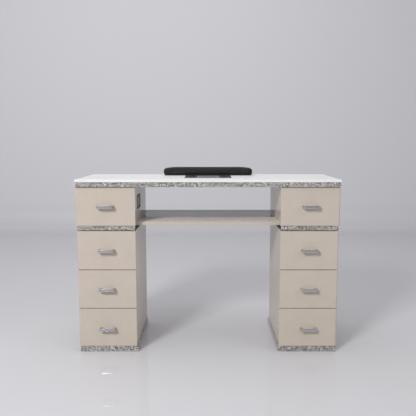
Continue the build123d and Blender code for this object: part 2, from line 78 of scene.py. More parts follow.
# Turned shapes, as (radius, height) in millimetres
BUMPER = [(0, 0), (4.0, 0), (4.0, 0.5), (3.3, 1.2), (1.8, 1.5), (0, 1.5)]
BUMPER_INSET = 9 * MM
PAN_HEAD = [(0, 1.4), (1.0, 1.4), (1.6, 2.45), (2.6, 2.3), (3.5, 1.7), (4.0, 0.8), (4.0, 0.0),
            (0, 0)]
FLUSH_HEAD = [(0, -0.6), (2.4, -0.6), (2.4, 0.15), (2.1, 0.35), (1.1, 0.4), (0.8, 0.1), (0, 0.1)]
FLUSH_HEAD_INSET = 6 * MM

# The armrest
PAD_CORNER = 18 * MM
PAD_TOP_EDGE = 12 * MM
PAD_LOWER_EDGE = 4 * MM
PINNED_BAND = 1 * MM  # the cover is held up to this height over its underside
COVER_PRESSURE = 4.0
COVER_FRAMES = 20
SEAM_HEIGHT = 0.42  # share of the pad's height
SEAM_POINTS = 560
SEAM_CORNER = 20 * MM  # rounding of the path that the seam's rays start from
CAST_FROM = 60 * MM  # how far out along that path's normal they start
PIPING_RADIUS = 1.5 * MM
THREAD_RADIUS = 0.35 * MM
STITCH_DROP = 4 * MM  # stitches under the piping
STITCH_STEP = 3  # seam points from one stitch to the next

# Tones of the smaller finishes, linear, dark before light
# the foam's dark tone is painted shade in its pores
FOAM_AND_PORE_SHADE_TONES = (0.012, 0.012, 0.013), (0.10, 0.10, 0.105)
THREAD_TONES = (0.02, 0.02, 0.021), (0.07, 0.07, 0.072)
# painted shade: the black on the shadow strips and on the mid boards' knee-side ends
PAINTED_SHADE_TONES = (0.008, 0.008, 0.008), (0.03, 0.029, 0.028)
BUMPER_TONE = (0.42, 0.42, 0.41)
SKY_TINT = (0.97, 0.98, 1.0, 1)


# ---- Settings ----


class TableSizes(bpy.types.PropertyGroup):
    """Sizes that the frame leaves open."""

    board: FloatProperty(
        name="Case board", description="Thickness of the case boards",
        default=15 * MM, unit="LENGTH")
    drawer_board: FloatProperty(
        name="Drawer board", description="Thickness of the drawer box walls",
        default=12 * MM, unit="LENGTH")
    drawer_bottom: FloatProperty(
        name="Drawer bottom", description="Thickness of the drawer bottoms",
        default=5 * MM, unit="LENGTH")
    drawer_bottom_rise: FloatProperty(
        name="Drawer bottom rise", description="Height of the bottom above the walls' lower edges",
        default=6 * MM, unit="LENGTH")
    eased_edge: FloatProperty(
        name="Eased edge", description="Rounding along cut board edges",
        default=0.7 * MM, unit="LENGTH")
    stone_edge: FloatProperty(
        name="Stone edge", description="Rounding along the stone's upper edge",
        default=1.8 * MM, unit="LENGTH")
    front_round: FloatProperty(
        name="Front rounding", description="Rounding of each front's outer upright edge",
        default=8 * MM, unit="LENGTH")
    pull_leg: FloatProperty(
        name="Pull leg", description="Width of a pull's leg, seen from the front",
        default=9 * MM, unit="LENGTH")
    pull_bar: FloatProperty(
        name="Pull bar", description="Thickness of a pull's bar, front to back",
        default=6 * MM, unit="LENGTH")
    pull_round: FloatProperty(
        name="Pull rounding", description="Outer rounding where a pull's bar meets its legs",
        default=7.5 * MM, unit="LENGTH")
    pad_voxel: FloatProperty(
        name="Pad mesh", description="Mesh size of the pad's cover",
        default=5 * MM, unit="LENGTH")
    pad_puff: FloatProperty(
        name="Pad puff", description="How far the pad's cover may swell",
        default=5 * MM, unit="LENGTH")


class TableColours(bpy.types.PropertyGroup):
    """Colours of the finishes, linear."""

    stone: FloatVectorProperty(
        name="Stone", description="White stone top",
        subtype="COLOR", default=(0.86, 0.855, 0.85))
    stone_vein: FloatVectorProperty(
        name="Stone veins", description="Veins in the stone",
        subtype="COLOR", default=(0.55, 0.555, 0.57))
    granite_light: FloatVectorProperty(
        name="Granite light", description="Light grains",
        subtype="COLOR", default=(0.52, 0.50, 0.475))
    granite_mid: FloatVectorProperty(
        name="Granite mid", description="Middle grains",
        subtype="COLOR", default=(0.27, 0.26, 0.25))
    granite_dark: FloatVectorProperty(
        name="Granite dark", description="Dark grains",
        subtype="COLOR", default=(0.045, 0.043, 0.042))
    laminate: FloatVectorProperty(
        name="Laminate", description="Beige gloss laminate",
        subtype="COLOR", default=(0.58, 0.505, 0.435))
    # Painted light: a paler copy of the laminate on the shelf's upper face stands in for light reaching
    # it
    painted_light_laminate: FloatVectorProperty(
        name="Painted light laminate", description="Shelf's upper face",
        subtype="COLOR", default=(0.93, 0.865, 0.80))
    drawer: FloatVectorProperty(
        name="Drawer board", description="Pale board of the drawer boxes",
        subtype="COLOR", default=(0.66, 0.60, 0.52))
    satin: FloatVectorProperty(
        name="Satin metal", description="Pulls and grille",
        subtype="COLOR", default=(0.50, 0.51, 0.535))
    zinc: FloatVectorProperty(
        name="Zinc", description="Runners, brackets and screws",
        subtype="COLOR", default=(0.62, 0.63, 0.65))
    black: FloatVectorProperty(
        name="Black", description="Black plastic and paint",
        subtype="COLOR", default=(0.018, 0.018, 0.02))
    leather: FloatVectorProperty(
        name="Leatherette", description="Armrest cover",
        subtype="COLOR", default=(0.0072, 0.0071, 0.0072))
    socket: FloatVectorProperty(
        name="Socket", description="Socket block",
        subtype="COLOR", default=(0.34, 0.345, 0.32))
    smoke: FloatVectorProperty(
        name="Smoke", description="Smoked panel",
        subtype="COLOR", default=(0.056, 0.051, 0.048))


class StageSettings(bpy.types.PropertyGroup):
    """Room, lights and camera."""

    lens: FloatProperty(name="Lens", description="Focal length", default=48.97, unit="CAMERA")
    camera_back: FloatProperty(
        name="Camera distance", description="Camera in front of the origin",
        default=2.7427, unit="LENGTH")
    camera_height: FloatProperty(
        name="Camera height", description="Camera above the floor", default=0.9695, unit="LENGTH")
    camera_pitch: FloatProperty(
        name="Camera pitch", description="Camera tilt below level",
        default=math.radians(6.69), unit="ROTATION")
    wall_back: FloatProperty(
        name="Wall", description="Wall behind the origin", default=3.4, unit="LENGTH")
    wall_colour: FloatVectorProperty(
        name="Wall colour", description="Pale wall",
        subtype="COLOR", default=(0.735, 0.735, 0.762))
    floor_colour: FloatVectorProperty(
        name="Floor colour", description="Pale floor",
        subtype="COLOR", default=(0.640, 0.636, 0.660))
    key_power: FloatProperty(
        name="Key light", description="Power of the key light", default=178.0, unit="POWER")
    top_power: FloatProperty(
        name="Top light", description="Power of the ceiling light", default=51.0, unit="POWER")
    fill_power: FloatProperty(
        name="Fill light", description="Power of the side light", default=25.0, unit="POWER")
    sky: FloatProperty(name="Sky", description="Strength of the even light", default=0.33)


def sizes():
    return bpy.context.scene.manicure_sizes


def colours():
    return bpy.context.scene.manicure_colours


# ---- Shader nodes ----


class Wire:
    """A node's output that takes part in Python arithmetic."""

    def __init__(self, finish, socket):
        self.finish, self.socket = finish, socket

    def maths(self, operation, *values):
        return self.finish.node("Math", dict(enumerate(values)), operation=operation)

    def __add__(self, other):
        return self.maths("ADD", self, other)

    def __sub__(self, other):
        return self.maths("SUBTRACT", self, other)

    def __rsub__(self, other):
        return self.maths("SUBTRACT", other, self)

    def __mul__(self, other):
        return self.maths("MULTIPLY", self, other)

    def __truediv__(self, other):
        return self.maths("DIVIDE", self, other)

    def __abs__(self):
        return self.maths("ABSOLUTE", self)

    __radd__ = __add__
    __rmul__ = __mul__


class Finish:
    """One material and its nodes."""

    def __init__(self, name, **sockets):
        self.material = bpy.data.materials.new(name)
        self.material.use_nodes = True
        self.tree = self.material.node_tree
        self.shader = self.tree.nodes["Principled BSDF"]
        self.set(**sockets)

    def feed(self, socket, value):
        if isinstance(value, Wire):
            self.tree.links.new(value.socket, socket)
        elif socket.type == "RGBA" and len(value) == 3:
            socket.default_value = (*value, 1.0)
        else:
            socket.default_value = value

    def set(self, **sockets):
        """Principled sockets by name, with spaces as underscores."""
        for name, value in sockets.items():
            self.feed(self.shader.inputs[name.replace("_", " ")], value)

    def node(self, kind, inputs=(), output=0, stops=(), **settings):
        """Any node: its type, its sockets' values or links, its ramp's stops and its settings."""
        made = self.tree.nodes.new("ShaderNode" + kind)
        for name, value in settings.items():
            setattr(made, name, value)
        if stops:
            ramp = made.color_ramp.elements
            while len(ramp) < len(stops):
                ramp.new(0.5)
            for element, (place, value) in zip(ramp, stops):
                element.position, element.color = place, (value, value, value, 1)
        for name, value in dict(inputs).items():
            self.feed(made.inputs[name], value)
        return Wire(self, made.outputs[output])

    def place(self, scale=(1, 1, 1), turn=(0, 0, 0)):
        """Object coordinates in metres, stretched and turned."""
        return self.node("Mapping", {"Vector": self.node("TexCoord", output="Object"),
                                     "Scale": scale, "Rotation": turn})

    def noise(self, where, scale, detail=2.0, roughness=0.5, distortion=0.0):
        return self.node("TexNoise", {"Vector": where, "Scale": scale, "Detail": detail,
                                      "Roughness": roughness, "Distortion": distortion})

    def cells(self, where, scale, feature="F1", output="Distance"):
        return self.node("TexVoronoi", {"Vector": where, "Scale": scale}, output=output, feature=feature)

    def cell_values(self, where, scale, channel=0):
        """A random value for each cell."""
        colour = self.cells(where, scale, output="Color")
        return self.node("SeparateColor", {0: colour}, output=channel)

    def pushed(self, where, by, amount):
        """Coordinates pushed aside by a pattern."""
        push = self.node("VectorMath", {0: by, "Scale": amount}, operation="SCALE")
        return self.node("VectorMath", {0: where, 1: push}, operation="ADD")

    def ramp(self, value, *stops):
        return self.node("ValToRGB", {"Fac": value}, stops=stops)

    def mix(self, amount, first, second):
        """Colours mixed by an amount from 0 to 1."""
        return self.node("Mix", {0: amount, 6: first, 7: second}, output=2, data_type="RGBA")

    def bump(self, height, depth, strength):
        """Relief of a depth in metres."""
        relief = self.node("Bump", {"Height": height, "Distance": depth, "Strength": strength})
        self.set(Normal=relief)


def shade(colour, factor):
    return tuple(min(1.0, part * factor) for part in colour)


# ---- Finishes ----


def white_stone():
    """Polished white stone with faint grey veins and cloudy patches."""
    c = colours()
    f = Finish("white_stone", Specular_IOR_Level=0.22)
    where = f.place(scale=(0.45, 1.6, 1.0))
    path = f.pushed(where, f.noise(where, 3.0, detail=3.0), 0.22)
    vein = f.noise(path, 5.5, detail=5.0, roughness=0.58)
    thin = f.ramp(abs(vein - 0.5), (0.0, 1.0), (0.018, 0.35), (0.06, 0.0))
    cloud = f.ramp(f.noise(where, 9.0, detail=3.0), (0.35, 0.0), (0.75, 1.0))
    patchy = f.ramp(f.noise(where, 2.1, detail=1.0), (0.4, 0.0), (0.7, 1.0))
    base = f.mix(cloud * 0.35, c.stone, shade(c.stone, 0.93))
    f.set(Base_Color=f.mix(thin * patchy * 0.6, base, c.stone_vein))
    f.set(Roughness=0.34 + 0.10 * f.noise(where, 60.0, detail=2.0))
    return f.material


def granite():
    """Polished granite: small slanting grains of three tones with bright flecks."""
    c = colours()
    f = Finish("granite", Coat_Weight=0.3, Coat_Roughness=0.1)
    where = f.place()
    strokes = []
    for lean in (40, -38):
        turned = f.place(turn=(math.radians(25), math.radians(lean), 0))
        drawn = f.node("VectorMath", {0: turned, 1: (0.9, 1.0, 2.3)}, operation="MULTIPLY")
        strokes.append(f.cell_values(drawn, 210.0))
    side = f.ramp(f.noise(where, 22.0, detail=1.0), (0.46, 0.0), (0.54, 1.0))
    stroke = side * strokes[0] + (1 - side) * strokes[1]
    fine = f.cell_values(where, 480.0, channel=1)
    light = f.ramp(stroke, (0.36, 0.0), (0.50, 1.0))
    tone = f.mix(light, shade(c.granite_mid, 0.5), c.granite_light)
    tone = f.mix(f.ramp(fine, (0.14, 1.0), (0.26, 0.0)) * 0.8, tone, c.granite_dark)
    fleck = f.ramp(stroke, (0.82, 0.0), (0.88, 1.0))
    f.set(Base_Color=f.mix(fleck * 0.8, tone, shade(c.granite_light, 1.5)))
    f.set(Roughness=0.2 + 0.2 * fine)
    return f.material


def gloss_laminate(name, tone, coat=0.18):
    """High-gloss laminate: a faint pearly mottle, orange peel and a clear coat."""
    f = Finish(name, Specular_IOR_Level=0.3, Coat_Weight=coat, Coat_Roughness=0.07)
    where = f.place()
    streak = f.noise(f.place(scale=(2.0, 2.0, 22.0)), 6.0, detail=4.0, roughness=0.6)
    mottle = f.noise(where, 14.0, detail=3.0)
    base = f.mix(f.ramp(mottle, (0.3, 0.0), (0.7, 1.0)), shade(tone, 0.975), shade(tone, 1.025))
    streaky = f.ramp(streak, (0.45, 0.0), (0.75, 1.0))
    f.set(Base_Color=f.mix(streaky * 0.18, base, shade(tone, 0.9)))
    f.set(Roughness=0.24 + 0.10 * f.noise(where, 85.0, detail=2.0))
    f.bump(f.noise(where, 110.0, detail=0.0), 0.00002, 0.4)
    return f.material


def drawer_board():
    """Pale melamine with a printed straight grain."""
    c = colours()
    f = Finish("drawer_board")
    along = f.place(scale=(30.0, 1.6, 30.0))
    grain = f.noise(along, 6.0, detail=6.0, roughness=0.62, distortion=0.4)
    pores = f.noise(f.place(scale=(220.0, 6.0, 220.0)), 3.0, detail=3.0)
    dark, light = shade(c.drawer, 0.84), shade(c.drawer, 1.05)
    tone = f.mix(f.ramp(grain, (0.32, 0.0), (0.68, 1.0)), dark, light)
    fine = f.ramp(pores, (0.52, 0.0), (0.64, 1.0))
    f.set(Base_Color=f.mix(fine * 0.3, tone, shade(c.drawer, 0.62)))
    f.set(Roughness=0.42 + 0.2 * fine)
    f.bump(fine, 0.00004, 0.5)
    return f.material


def satin_metal(name, along, tint, rough):
    """Satin metal with fine drawn lines."""
    c = colours()
    f = Finish(name, Metallic=1.0)
    lines = f.noise(f.place(scale=along), 900.0, detail=3.0, roughness=0.7)
    blotch = f.noise(f.place(), 45.0, detail=2.0)
    f.set(Base_Color=f.mix(lines, shade(c.satin, 0.86 * tint), shade(c.satin, 1.14 * tint)))
    f.set(Roughness=rough - 0.06 + 0.10 * lines + 0.08 * blotch)
    f.bump(lines, 0.00001, 0.5)
    return f.material


def zinc():
    """Zinc-plated steel: soft spangle and light scuffs."""
    c = colours()
    f = Finish("zinc", Metallic=1.0)
    where = f.place()
    spangle = f.cell_values(where, 160.0)
    scuff = f.noise(f.place(scale=(1.0, 0.06, 1.0)), 700.0, detail=2.0)
    f.set(Base_Color=f.mix(spangle, shade(c.zinc, 0.84), shade(c.zinc, 1.1)))
    f.set(Roughness=0.26 + 0.16 * spangle + 0.12 * scuff)
    f.bump(scuff, 0.00001, 0.4)
    return f.material


def moulded(name, colour, rough=0.42, grain=0.00004):
    """Moulded plastic with a fine spark-eroded grain."""
    f = Finish(name, IOR=1.49)
    where = f.place()
    pebbles = f.cells(where, 1500.0)
    tone = f.noise(where, 70.0, detail=2.0)
    f.set(Base_Color=f.mix(tone, shade(colour, 0.88), shade(colour, 1.12)))
    f.set(Roughness=rough - 0.05 + 0.12 * tone)
    f.bump(pebbles, grain, 0.7)
    return f.material


def black_paint():
    """Satin black powder coat with a light orange peel."""
    c = colours()
    f = Finish("black_paint", Coat_Weight=0.15, Coat_Roughness=0.25)
    where = f.place()
    peel = f.noise(where, 900.0, detail=2.0)
    f.set(Base_Color=f.mix(f.noise(where, 30.0), shade(c.black, 0.8), shade(c.black, 1.5)))
    f.set(Roughness=0.32 + 0.12 * peel)
    f.bump(peel, 0.00003, 0.6)
    return f.material


def smoked_acrylic():
    """Smoked clear sheet with a little dust and fine rubbing marks."""
    c = colours()
    f = Finish("smoked_acrylic", IOR=1.49, Coat_Weight=0.3, Coat_Roughness=0.03)
    where = f.place()
    dust = f.ramp(f.noise(where, 120.0, detail=4.0), (0.50, 0.0), (0.75, 1.0))
    rub = f.noise(f.place(scale=(0.2, 1.0, 3.0)), 500.0, detail=2.0)
    f.set(Base_Color=f.mix(dust * 0.25, c.smoke, shade(c.smoke, 3.0)))
    f.set(Roughness=0.04 + 0.10 * rub)
    f.set(Alpha=0.41 + 0.03 * dust)
    return f.material


def filter_foam():
    """Open-cell grey foam, with painted shade in its pores."""
    f = Finish("filter_foam", Roughness=0.95)
    where = f.place()
    pores = f.cells(where, 620.0)
    # the dark cell middles are painted shade in the pores
    f.set(Base_Color=f.mix(f.ramp(pores, (0.1, 0.0), (0.6, 1.0)), *FOAM_AND_PORE_SHADE_TONES))
    f.bump(pores, 0.0008, 1.0)
    return f.material


def leatherette():
    """Black leatherette: pebbled grain, painted shade in the creases between the pebbles and a soft
    sheen.
    """
    c = colours()
    f = Finish("leatherette", Specular_IOR_Level=0.25)
    where = f.place()
    warped = f.pushed(where, f.noise(where, 120.0), 0.004)
    crease = f.cells(warped, 520.0, feature="DISTANCE_TO_EDGE")
    pebble = f.ramp(crease, (0.0, 0.0), (0.16, 0.8), (0.4, 1.0))
    worn = f.ramp(f.noise(where, 16.0, detail=3.0), (0.45, 0.0), (0.75, 1.0))
    # painted shade: the creases are coloured darker and the pebble tops lighter
    f.set(Base_Color=f.mix(pebble, shade(c.leather, 0.6), shade(c.leather, 1.4)))
    f.set(Roughness=0.50 - 0.10 * pebble - 0.06 * worn)
    f.bump(pebble, 0.00025, 0.6)
    return f.material


def stitching():
    """Black waxed thread with a twist."""
    f = Finish("stitching", Roughness=0.6)
    twist = f.noise(f.place(), 2500.0, detail=1.0)
    f.set(Base_Color=f.mix(twist, *THREAD_TONES))
    f.bump(twist, 0.0001, 0.6)
    return f.material


def painted_shade_black():
    """Matt black that stands for shade: painted shade on the shadow strips and the mid boards' knee-side
    ends.
    """
    f = Finish("painted_shade_black", Roughness=0.7)
    speckle = f.noise(f.place(scale=(1.0, 1.0, 2.0)), 350.0, detail=3.0)
    f.set(Base_Color=f.mix(speckle, *PAINTED_SHADE_TONES))
    f.bump(speckle, 0.0001, 0.5)
    return f.material


def make_finishes():
    c = colours()
    return {
        "stone": white_stone(),
        "granite": granite(),
        "laminate": gloss_laminate("gloss_laminate", c.laminate),
        # a paler copy of the laminate for the shelf's upper face: painted light
        "painted_light_laminate": gloss_laminate("painted_light_laminate", c.painted_light_laminate, coat=0.1),
        "drawer": drawer_board(),
        "satin": satin_metal("satin_metal", along=(0.02, 1, 1), tint=1.15, rough=0.24),
        "grille": satin_metal("brushed_grille", along=(1, 0.02, 1), tint=0.95, rough=0.34),
        "zinc": zinc(),
        "black_plastic": moulded("black_plastic", c.black),
        "socket_plastic": moulded("socket_plastic", c.socket, rough=0.3, grain=0.00002),
        "bumper": moulded("bumper", BUMPER_TONE, rough=0.25, grain=0.00001),
        "black_paint": black_paint(),
        "smoke": smoked_acrylic(),
        "foam": filter_foam(),
        "leatherette": leatherette(),
        "thread": stitching(),
        "painted_shade": painted_shade_black(),
    }


FINISHES = {}  # by name, filled by the first operator


# ---- Modelling helpers ----


def add_piece(name, bm, finish, body, slot, *nodes):
    """A finished mesh that rides on a body and may stand for frame nodes."""
    mesh = bpy.data.meshes.new(name)
    bm.to_mesh(mesh)
    bm.free()
    mesh.materials.append(FINISHES[finish])
    piece = bpy.data.objects.new(name, mesh)
    bpy.context.scene.collection.objects.link(piece)
    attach(piece, body)
    if nodes:
        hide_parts(*nodes)
    return piece


def paint_node(node, finish):
    """A frame node that keeps its shape takes a finish."""
    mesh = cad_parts[node].data
    mesh.materials.clear()
    mesh.materials.append(FINISHES[finish])


def sharp_edges(bm):
    return [e for e in bm.edges if len(e.link_faces) == 2 and e.calc_face_angle(0) > SHARP]


def is_level(edge):
    return abs(edge.verts[0].co.z - edge.verts[1].co.z) < TOUCH


def ease(bm, edges, offset, segments=2):
    """Rounds edges and shades the rounding smooth."""
    made = bmesh.ops.bevel(bm, geom=edges, offset=offset, offset_type="OFFSET", segments=segments,
                           profile=0.5, affect="EDGES", material=-1, clamp_overlap=True)
    for face in made["faces"]:
        face.smooth = True


def add_block(bm, lo, hi):
    """A plain block between two corners."""
    lo, hi = Vector(lo), Vector(hi)
    low, high = Vector(map(min, lo, hi)), Vector(map(max, lo, hi))
    verts = bmesh.ops.create_cube(bm, size=1.0)["verts"]
    bmesh.ops.scale(bm, vec=high - low, verts=verts)
    bmesh.ops.translate(bm, vec=(low + high) / 2, verts=verts)


def add_board(bm, lo, hi, edge=None, segments=2):
    """A board with eased edges."""
    part = bmesh.new()
    add_block(part, lo, hi)
    ease(part, part.edges[:], edge or sizes().eased_edge, segments)
    join(bm, part)


def join(bm, part):
    """Adds one bmesh to another."""
    mesh = bpy.data.meshes.new("join")
    part.to_mesh(mesh)
    part.free()
    bm.from_mesh(mesh)
    bpy.data.meshes.remove(mesh)


def cut_hole(bm, lo, hi, axis):
    """Cuts a rectangular hole right through a block, along an axis, between two corners."""
    others = [k for k in range(3) if k != axis]
    for k in others:
        for place in (lo[k], hi[k]):
            normal = Vector([1.0 if n == k else 0.0 for n in range(3)])
            bmesh.ops.bisect_plane(bm, geom=bm.verts[:] + bm.edges[:] + bm.faces[:], dist=1e-7,
                                   plane_co=normal * place, plane_no=normal)
    caps = []
    for face in bm.faces:
        centre = face.calc_center_median()
        if all(lo[k] < centre[k] < hi[k] for k in others) and abs(face.normal[axis]) > 0.9:
            caps.append(face)
    rims = [e for face in caps for e in face.edges]
    bmesh.ops.delete(bm, geom=caps, context="FACES_ONLY")
    bmesh.ops.bridge_loops(bm, edges=list(set(rims)))
    bmesh.ops.recalc_face_normals(bm, faces=bm.faces[:])


def lathe(bm, profile, centre, turn, steps):
    """A turned shape from a profile of (radius, height) points in millimetres."""
    part = bmesh.new()
    verts = [part.verts.new((radius * MM, 0, height * MM)) for radius, height in profile]
    edges = [part.edges.new(pair) for pair in zip(verts, verts[1:])]
    bmesh.ops.spin(part, geom=verts + edges, cent=(0, 0, 0), axis=(0, 0, 1), angle=math.tau,
                   steps=steps, use_merge=True)
    bmesh.ops.remove_doubles(part, verts=part.verts, dist=SAME)
    bmesh.ops.recalc_face_normals(part, faces=part.faces[:])
    for face in part.faces:
        face.smooth = True
    bmesh.ops.transform(part, matrix=Matrix.Translation(centre) @ turn, verts=part.verts)
    join(bm, part)


# ---- Pieces ----


class PieceOperator(bpy.types.Operator):
    """Shared by the piece operators."""

    bl_options = {"REGISTER", "UNDO"}


class MANICURE_OT_finishes(PieceOperator):
    """Make every finish"""

    bl_idname = "manicure.finishes"
    bl_label = "Finishes"

    def execute(self, context):
        FINISHES.update(make_finishes())
        return {"FINISHED"}


class MANICURE_OT_top(PieceOperator):
    """Build the stone top and the granite-look board under it"""

    bl_idname = "manicure.top"
    bl_label = "Stone top"

    def execute(self, context):
        tray_lo, tray_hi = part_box("vent_tray")
        hole_lo = (tray_lo.x + TRAY_RIM, tray_lo.y + TRAY_RIM, 0)
        hole_hi = (tray_hi.x - TRAY_RIM, tray_hi.y - TRAY_RIM, 0)
        eased = sizes().eased_edge
        boards = (("stone_top", "stone", "white_stone", sizes().stone_edge),
                  ("top_board", "granite", "granite_laminate", eased))
        for node, finish, slot, edge in boards:
            lo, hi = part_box(node)
            middle = (lo.z + hi.z) / 2
            bm = bmesh.new()
            add_block(bm, lo, hi)
            ease(bm, [e for e in bm.edges if not is_level(e)], STONE_CORNER, 4)
            rims = [e for e in sharp_edges(bm) if is_level(e) and e.verts[0].co.z > middle]
            ease(bm, rims, edge, 3)
            rims = [e for e in sharp_edges(bm) if is_level(e) and e.verts[0].co.z < middle]
            ease(bm, rims, eased, 2)
            cut_hole(bm, hole_lo, hole_hi, 2)
            add_piece(f"{node}_finished", bm, finish, "table", slot, node)
        return {"FINISHED"}


class MANICURE_OT_granite_boards(PieceOperator):
    """Build the mid boards and the plinths"""

    bl_idname = "manicure.granite_boards"
    bl_label = "Mid boards and plinths"

    def execute(self, context):
        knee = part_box("lower_case_right")[0].x
        for node, inset in KNEE_INSETS.items():
            lo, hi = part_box(node)
            inner = knee + inset
            bm = bmesh.new()
            for side in SIDES.values():
                add_board(bm, (side * inner, lo.y, lo.z), (side * hi.x, hi.y, hi.z), segments=3)
            # the mid boards' knee-side ends are painted black as shade
            if node == "mid_boards":
                for face in bm.faces:
                    knee_side = abs(face.calc_center_median().x) < inner + TOUCH
                    face.material_index = 1 if knee_side else 0
            boards = add_piece(f"{node}_finished", bm, "granite", "table", "granite_laminate", node)
            if node == "mid_boards":
                boards.data.materials.append(FINISHES["painted_shade"])
        # the shadow strips are painted black as shade in the gaps under the mid boards
        paint_node("shadow_strips", "painted_shade")
        return {"FINISHED"}


class MANICURE_OT_cases(PieceOperator):
    """Build the boards of the upper and lower cases"""

    bl_idname = "manicure.cases"
    bl_label = "Cases"

    def execute(self, context):
        board = sizes().board
        for name, side in SIDES.items():
            lo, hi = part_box(f"lower_case_{name}")
            inner, outer = (lo.x, hi.x) if side > 0 else (hi.x, lo.x)
            bm = bmesh.new()
            rear = hi.y - board
            add_board(bm, (inner, lo.y, lo.z), (inner + side * board, rear, hi.z))
            add_board(bm, (outer - side * board, lo.y, lo.z), (outer, rear, hi.z))
            between = (inner + side * board, outer - side * board)
            add_board(bm, (between[0], lo.y, lo.z), (between[1], rear, lo.z + board))
            add_board(bm, (between[0], lo.y, hi.z - board), (between[1], rear, hi.z))
            self.back_board(bm, lo, hi)
            add_piece(f"lower_case_{name}_boards", bm, "laminate", "table", "beige_gloss_laminate",
                      f"lower_case_{name}")

            lo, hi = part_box(f"upper_case_{name}")
            case_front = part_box(f"upper_inner_side_{name}")[0].y
            outer = hi.x if side > 0 else lo.x
            bm = bmesh.new()
            add_board(bm, (outer - side * board, case_front, lo.z), (outer, hi.y - board, hi.z))
            self.back_board(bm, lo, hi)
            add_piece(f"upper_case_{name}_boards", bm, "laminate", "table", "beige_gloss_laminate",
                      f"upper_case_{name}")
        self.inner_sides()
        return {"FINISHED"}

    def back_board(self, bm, lo, hi):
        """A finished back whose outer upright edges are rounded."""
        part = bmesh.new()
        add_block(part, (lo.x, hi.y - sizes().board, lo.z), hi)
        rear = [e for e in part.edges
                if min(v.co.y for v in e.verts) > hi.y - TOUCH and not is_level(e)]
        ease(part, rear, BACK_CORNER, 4)
        ease(part, sharp_edges(part), sizes().eased_edge, 2)
        join(bm, part)

    def inner_sides(self):
        """The knee-side boards, with the outlet's cut-out on the left."""
        for name in SIDES:
            lo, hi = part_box(f"upper_inner_side_{name}")
            bm = bmesh.new()
            add_block(bm, lo, hi)
            ease(bm, bm.edges[:], sizes().eased_edge, 2)
            if name == "left":
                hole_lo, hole_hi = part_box("outlet_sockets")
                cut_hole(bm, hole_lo, hole_hi, 0)
            add_piece(f"upper_inner_side_{name}_board", bm, "laminate", "table", "beige_gloss_laminate",
                      f"upper_inner_side_{name}")


class MANICURE_OT_drawer_fronts(PieceOperator):
    """Build the drawer fronts with their rounded outer edges"""

    bl_idname = "manicure.drawer_fronts"
    bl_label = "Drawer fronts"

    def execute(self, context):
        for drawer in DRAWERS:
            lo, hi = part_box(f"drawer_front_{drawer}")
            outer = lo.x if drawer.startswith("left") else hi.x
            bm = bmesh.new()
            add_block(bm, lo, hi)
            edge = [e for e in bm.edges
                    if all(abs(v.co.x - outer) < TOUCH and v.co.y < lo.y + TOUCH for v in e.verts)]
            ease(bm, edge, sizes().front_round, 8)
            ease(bm, sharp_edges(bm), sizes().eased_edge, 3)
            add_piece(f"front_{drawer}", bm, "laminate", f"drawer_{drawer}", "beige_gloss_laminate",
                      f"drawer_front_{drawer}")
            self.add_bumpers(drawer, lo, hi)
        return {"FINISHED"}

    def add_bumpers(self, drawer, lo, hi):
        """Soft stick-on discs at the corners of a front's rear face."""
        bm = bmesh.new()
        for x in (lo.x + BUMPER_INSET, hi.x - BUMPER_INSET):
            for z in (lo.z + BUMPER_INSET, hi.z - BUMPER_INSET):
                lathe(bm, BUMPER, Vector((x, hi.y, z)), REARWARDS, steps=20)
        add_piece(f"bumpers_{drawer}", bm, "bumper", f"drawer_{drawer}", "drawer_board")


class MANICURE_OT_drawer_boxes(PieceOperator):
    """Build the drawer boxes, board by board"""

    bl_idname = "manicure.drawer_boxes"
    bl_label = "Drawer boxes"

    def execute(self, context):
        s = sizes()
        wall, bottom = s.drawer_board, s.drawer_bottom
        for drawer in DRAWERS:
            lo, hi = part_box(f"drawer_box_{drawer}")
            bm = bmesh.new()
            add_board(bm, lo, (lo.x + wall, hi.y, hi.z), BOX_EDGE, 3)
            add_board(bm, (hi.x - wall, lo.y, lo.z), hi, BOX_EDGE, 3)
            add_board(bm, (lo.x + wall, lo.y, lo.z), (hi.x - wall, lo.y + wall, hi.z), BOX_EDGE, 3)
            add_board(bm, (lo.x + wall, hi.y - wall, lo.z), (hi.x - wall, hi.y, hi.z), BOX_EDGE, 3)
            floor = lo.z + s.drawer_bottom_rise
            add_board(bm, (lo.x + wall, lo.y + wall, floor),
                      (hi.x - wall, hi.y - wall, floor + bottom), BOX_BOTTOM_EDGE, 1)
            add_piece(f"box_{drawer}", bm, "drawer", f"drawer_{drawer}", "drawer_board",
                      f"drawer_box_{drawer}")
            paint_node(f"runner_tongues_{drawer}", "zinc")
        return {"FINISHED"}


